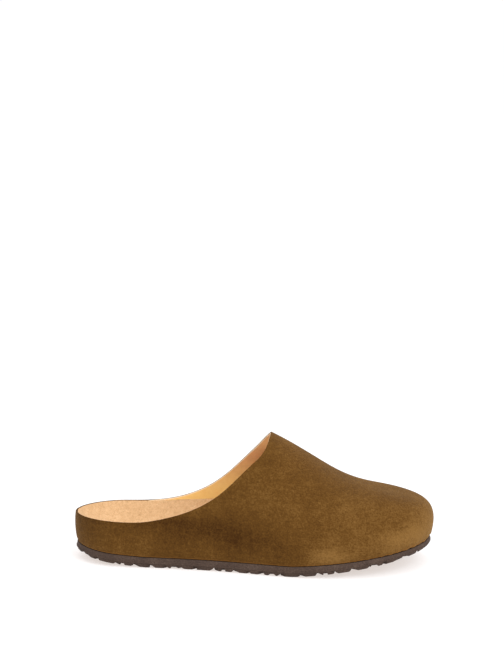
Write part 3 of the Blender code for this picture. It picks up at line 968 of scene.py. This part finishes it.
def footbed_rings(foot, top):
    """A ring of points for each line: up the lateral wall, over the top and down
    the medial wall."""
    bottom = seat(foot) + FIT_GAP
    depth = np.full(len(foot), UPPER_WALL + FOOTBED_GAP)
    lining_room = UPPER_WALL - SUEDE_THICKNESS
    over_lining = depth - lining_room * at_heel(foot * SOLE_LENGTH + COVER_LEAD)
    walls, edges = {}, {}
    for side in (LATERAL, MEDIAL):
        collar = collar_height(side, foot * SOLE_LENGTH)
        edge = np.minimum(bottom + bed_edge[side](foot) * FOOTBED_RIM, collar - RIM_LIP)
        edges[side] = edge + (collar - RIM_CLEARANCE - edge) * at_heel(foot * SOLE_LENGTH)
        rim = edges[side] - BED_EDGE_DROP
        lower = np.linspace(bottom, rim - COVER_LIP, BED_SIDE_STEPS + 1, axis=1)
        upper = np.linspace(rim - LIP_FULL * COVER_LIP, rim, LIP_STEPS + 1, axis=1)
        walls[side] = np.concatenate(
            [
                inside_upper(side, foot, top, lower, depth),
                inside_upper(side, foot, top, upper, over_lining),
            ],
            axis=1,
        )
    floor = bottom + bed_floor(foot) * FOOTBED_RIM
    start, end = walls[LATERAL][:, -1], walls[MEDIAL][:, -1]
    share = 0.5 - 0.5 * np.cos(math.pi * np.arange(1, BED_TOP_STEPS) / BED_TOP_STEPS)
    over = start[:, None] + (end - start)[:, None] * share[None, :, None]
    out = np.abs(2 * share - 1)
    edge = np.where(share > 0.5, edges[MEDIAL][:, None], edges[LATERAL][:, None])
    near = np.sqrt(1 - roundness(foot)[:, None] ** 2 * (1 - out**2))
    over[..., 2] = floor[:, None] + (edge - floor[:, None]) * near**CUP_STEEPNESS
    width = np.linalg.norm(end - start, axis=1)[:, None]
    from_edge = (1 - out) / 2 * width
    over[..., 2] -= BED_EDGE_DROP * np.clip(1 - from_edge / BED_EDGE_ROLL, 0, 1) ** 2
    return np.concatenate([walls[LATERAL], over, walls[MEDIAL][:, ::-1]], axis=1)


def loft(name, rings):
    """A closed skin through rings that all have the same number of points."""
    rows, size = rings.shape[:2]
    grid = np.arange(rows * size).reshape(rows, size)
    after = np.roll(grid, -1, axis=1)
    corners = (grid[:-1], after[:-1], after[1:], grid[1:])
    mesh = bpy.data.meshes.new(name)
    faces = np.stack(corners, -1).reshape(-1, 4).tolist()
    mesh.from_pydata((rings + shift).reshape(-1, 3), [], faces)
    weld(mesh)
    face_outwards(mesh)
    return link(name, mesh)


def face_outwards(mesh):
    """Turns the faces of a closed skin to look outwards."""
    shape = bmesh.new()
    shape.from_mesh(mesh)
    bmesh.ops.recalc_face_normals(shape, faces=shape.faces)
    shape.to_mesh(mesh)
    shape.free()


bed_foot, bed_top = mesh_lines(Steps(heel=40, quarter=64, vamp=24, toe=34))
footbed = loft("suede_footbed", footbed_rings(bed_foot, bed_top))
footbed.data.set_sharp_from_angle(angle=math.radians(60))
print("footbed:", len(footbed.data.polygons), "faces")


# %% Light suede on the footbed
def light_suede():
    """The footbed's cover: pale tan, mottled, with darker and lighter fibres."""
    recipe = Recipe("light_suede")
    cloud = recipe.noise(0.030, 2)
    mottle = recipe.noise(0.0032, 3)
    fibre = recipe.noise(0.0011, 3)
    tone = recipe.pile(0.5, [(cloud, 0.25), (mottle, 0.55), (fibre, 0.80)])
    colour = recipe.colours(
        tone,
        [
            (0.15, (0.39, 0.225, 0.100)),
            (0.50, (0.56, 0.345, 0.176)),
            (0.85, (0.70, 0.460, 0.262)),
        ],
    )
    recipe.bump(recipe.pile(0.5, [(mottle, 0.4), (fibre, 1.0)]), 0.0004)
    settings = {
        "Roughness": 0.92,
        "Specular IOR Level": 0.15,
        "Sheen Weight": 0.15,
        "Sheen Roughness": 0.5,
        "Sheen Tint": (1.0, 0.86, 0.70, 1),
    }
    return recipe.finish(colour, settings)


footbed.data.materials.append(light_suede())
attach(footbed, "root")
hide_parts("footbed")

# %% [markdown]
# ## The outsole
# The sole is moulded in one piece from a light, matt grey-brown rubber. Its solid has
# the outline and the zigzag tread. The piece here follows it, drawn in at the tips as
# the suede is, and adds a small ledge half way down its side, uneven grooves and short
# notches along both edges. Cutting the tread with Booleans copies how the mould's ribs
# shape it.

# %% Sizes of the side and the tread
Edge = namedtuple("Edge", "height out")
SOLE_SIDE = (
    Edge(1.00, 0.0000),
    Edge(0.92, 0.0004),
    Edge(0.58, 0.0006),
    Edge(0.53, 0.0011),
    Edge(0.46, 0.0011),
    Edge(0.42, 0.0005),
    Edge(0.22, 0.0002),
    Edge(0.06, -0.0009),
    Edge(0.00, -0.0015),
)
TREAD_PITCH = 0.0130
GROOVES = 21
ZIGZAG_PERIOD, ZIGZAG_REACH, ZIGZAG_DRIFT = 0.0150, 0.0034, 0.0013
GROOVE_MOUTH, GROOVE_ROOT, GROOVE_DEPTH = 0.0058, 0.0034, 0.0027
NOTCH_MOUTH, NOTCH_ROOT, NOTCH_DEPTH, NOTCH_REACH = 0.0048, 0.0026, 0.0024, 0.0060
NOTCH_SHIFT, NOTCH_SHIFT_SPEED = 0.0012, 3.7  # along the edge, from one to the next
Change = namedtuple("Change", "share speed")  # how much and how fast a size changes
MOUTH_CHANGE, DEPTH_CHANGE = Change(0.22, 2.4), Change(0.15, 1.7)
NOTCH_MOUTH_CHANGE, NOTCH_DEPTH_CHANGE = Change(0.30, 2.9), Change(0.25, 2.1)
CUTTER_MARGIN = 0.0040  # how far a cutter stands out of the rubber
EVERY_THIRD = slice(2, -2, 3)  # the grooves that a notch follows


# %% Loft the sole
def sole_rings(foot):
    """A ring of points for each line: down the lateral side, up the medial side."""
    places = []
    bottom = sole_bottom(foot)
    for side, rows in ((LATERAL, SOLE_SIDE), (MEDIAL, SOLE_SIDE[::-1])):
        edge = feather(side, foot)
        inward = (crown(crown_station(foot)) - edge) * (1, 1, 0)
        inward /= np.linalg.norm(inward, axis=-1, keepdims=True)
        for row in rows:
            place = edge - inward * row.out
            place[:, 0] += drawn_in(foot, 0.0)
            place[:, 2] = bottom + row.height * (seat(foot) - bottom)
            places.append(place)
    return np.stack(places, axis=1)


sole_foot, _ = mesh_lines(Steps(heel=30, quarter=60, vamp=24, toe=36))
sole = loft("rubber_sole", sole_rings(sole_foot))
print("sole before the tread:", len(sole.data.polygons), "faces")


# %% Cutters for the tread
def cutter_rings(middles, ys, mouth, root, depth):
    """The section of a groove at each of these places, wider at its mouth."""
    wide = mouth + (mouth - root) * CUTTER_MARGIN / depth
    across = np.array([-wide, wide, root, -root]) / 2
    x = np.asarray(middles)[:, None] + across
    y = np.repeat(np.asarray(ys)[:, None], 4, axis=1)
    z = sole_bottom(x / SOLE_LENGTH) + (-CUTTER_MARGIN, -CUTTER_MARGIN, depth, depth)
    return np.stack([x, y, z], -1)


def uneven(change, index, start=0):
    """A factor that wanders round 1 from one cut to the next."""
    return 1 + change.share * math.sin(change.speed * index + start)


def groove(index, x):
    """A zigzag groove from side to side. Each lies a little to the side of the last."""
    drift = index * ZIGZAG_DRIFT
    half = ZIGZAG_PERIOD / 2
    low, high = (feather(side, np.array(x / SOLE_LENGTH))[1] for side in (LATERAL, MEDIAL))
    first = math.floor((low - CUTTER_MARGIN - drift) / half)
    last = math.ceil((high + CUTTER_MARGIN - drift) / half)
    turns = np.arange(first, last + 1)
    middles = x + np.where(turns % 2, ZIGZAG_REACH, -ZIGZAG_REACH)
    mouth = GROOVE_MOUTH * uneven(MOUTH_CHANGE, index)
    depth = GROOVE_DEPTH * uneven(DEPTH_CHANGE, index, 1)
    return cutter_rings(middles, drift + turns * half, mouth, GROOVE_ROOT, depth)


def notch(side, index, x):
    """A short cut into one edge of the tread."""
    edge = feather(side, np.array(x / SOLE_LENGTH))[1]
    ys = edge + side * np.array([-NOTCH_REACH, CUTTER_MARGIN])
    mouth = NOTCH_MOUTH * uneven(NOTCH_MOUTH_CHANGE, index, side)
    depth = NOTCH_DEPTH * uneven(NOTCH_DEPTH_CHANGE, index, 2 * side)
    middle = x + NOTCH_SHIFT * math.sin(NOTCH_SHIFT_SPEED * index + side)
    return cutter_rings([middle, middle], ys, mouth, NOTCH_ROOT, depth)


def cutter(name, grooves):
    """All of these grooves as one object."""
    points, faces = [], []
    for rings in grooves:
        rows, size = rings.shape[:2]
        grid = np.arange(rows * size).reshape(rows, size) + sum(len(p) for p in points)
        after = np.roll(grid, -1, axis=1)
        corners = (grid[:-1], after[:-1], after[1:], grid[1:])
        faces.extend(np.stack(corners, -1).reshape(-1, 4).tolist())
        faces.extend([grid[0].tolist(), grid[-1].tolist()])
        points.append((rings + shift).reshape(-1, 3))
    mesh = bpy.data.meshes.new(name)
    mesh.from_pydata(np.concatenate(points), [], faces)
    face_outwards(mesh)
    return link(name, mesh)


def cut_away(piece, tools):
    """Takes the tools out of the piece, one after the other, and drops them."""
    for tool in tools:
        cut = piece.modifiers.new(tool.name, "BOOLEAN")
        cut.operation = "DIFFERENCE"
        cut.solver = "EXACT"
        cut.object = tool
    mesh = bpy.data.meshes.new_from_object(piece.evaluated_get(depsgraph()))
    piece.modifiers.clear()
    piece.data = mesh
    for tool in tools:
        bpy.data.objects.remove(tool)


first_groove = (SOLE_LENGTH - (GROOVES - 1) * TREAD_PITCH) / 2
groove_places = [first_groove + i * TREAD_PITCH for i in range(GROOVES)]
notch_places = [x + TREAD_PITCH / 2 for x in groove_places[EVERY_THIRD]]
grooves = [groove(i, x) for i, x in enumerate(groove_places)]
notches = [
    notch(side, i, x) for side in (LATERAL, MEDIAL) for i, x in enumerate(notch_places)
]
cut_away(sole, [cutter("grooves", grooves), cutter("notches", notches)])
sole.data.set_sharp_from_angle(angle=math.radians(35))
print("sole with its tread:", len(sole.data.polygons), "faces")


# %% Grey-brown rubber
def sole_rubber():
    """Foamed rubber: matt, finely speckled, a little rubbed."""
    recipe = Recipe("sole_rubber")
    cloud = recipe.noise(0.012, 3)
    speck = recipe.noise(0.0011, 3)
    tone = recipe.pile(0.5, [(cloud, 0.35), (speck, 0.60)])
    colour = recipe.colours(
        tone,
        [
            (0.15, (0.024, 0.0145, 0.011)),
            (0.50, (0.059, 0.0360, 0.026)),
            (0.85, (0.125, 0.0860, 0.064)),
        ],
    )
    recipe.bump(recipe.pile(0.5, [(cloud, 0.3), (speck, 1.0)]), 0.0007)
    return recipe.finish(colour, {"Roughness": 0.80, "Specular IOR Level": 0.25})


sole.data.materials.clear()
sole.data.materials.append(sole_rubber())
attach(sole, "root")
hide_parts("outsole")

# %% [markdown]
# ## The studio
# The shoe stands on a white sweep that is lit until it disappears, in a white room
# that is brighter overhead. A large soft light stands in front, on the toe's side,
# which models the toe and leaves the waist darker. All of it is a stage.

# %% Floor
FLOOR_SIZE = 12.0


def white_floor():
    """A plain white sweep."""
    bpy.ops.mesh.primitive_plane_add(size=FLOOR_SIZE)
    floor = bpy.context.object
    floor.name = "floor"
    recipe = Recipe("floor_paper")
    tone = recipe.noise(0.6, 1)
    colour = recipe.colours(tone, [(0.3, (0.37, 0.40, 0.43)), (0.7, (0.38, 0.41, 0.44))])
    settings = {
        "Roughness": 0.9,
        "Specular IOR Level": 0.1,
        "Emission Color": (1.0, 0.90, 0.84, 1),
        "Emission Strength": 0.66,
    }
    floor.data.materials.append(recipe.finish(colour, settings))


white_floor()

# %% Room and lights
HORIZON_LIGHT, OVERHEAD_LIGHT = 1.02, 1.5
HORIZON_CLIMB, OVERHEAD_CLIMB = 0.15, 0.95  # the direction's upward part there
SOFTBOX_PLACE, SOFTBOX_SIZE, SOFTBOX_POWER = (1.3, -1.5, 1.5), 1.6, 32.0


def white_room():
    """A world that is white at the horizon and brighter overhead."""
    world = bpy.data.worlds.new("studio")
    world.use_nodes = True
    bpy.context.scene.world = world
    nodes, links = world.node_tree.nodes, world.node_tree.links
    direction = nodes.new("ShaderNodeTexCoord")
    parts = nodes.new("ShaderNodeSeparateXYZ")
    climb = nodes.new("ShaderNodeMapRange")
    climb.inputs["From Min"].default_value = HORIZON_CLIMB
    climb.inputs["From Max"].default_value = OVERHEAD_CLIMB
    climb.inputs["To Min"].default_value = HORIZON_LIGHT
    climb.inputs["To Max"].default_value = OVERHEAD_LIGHT
    links.new(direction.outputs["Generated"], parts.inputs["Vector"])
    links.new(parts.outputs["Z"], climb.inputs["Value"])
    links.new(climb.outputs["Result"], nodes["Background"].inputs["Strength"])
    nodes["Background"].inputs["Color"].default_value = (1, 1, 1, 1)


def softbox():
    """A square light that faces the shoe."""
    light = bpy.data.lights.new("softbox", "AREA")
    light.size = SOFTBOX_SIZE
    light.energy = SOFTBOX_POWER
    made = link("softbox", light)
    made.location = SOFTBOX_PLACE
    made.rotation_mode = "QUATERNION"
    made.rotation_quaternion = (SHOE_POINT - made.location).to_track_quat("-Z", "Y")


white_room()
softbox()
bpy.context.scene.view_settings.view_transform = "Standard"
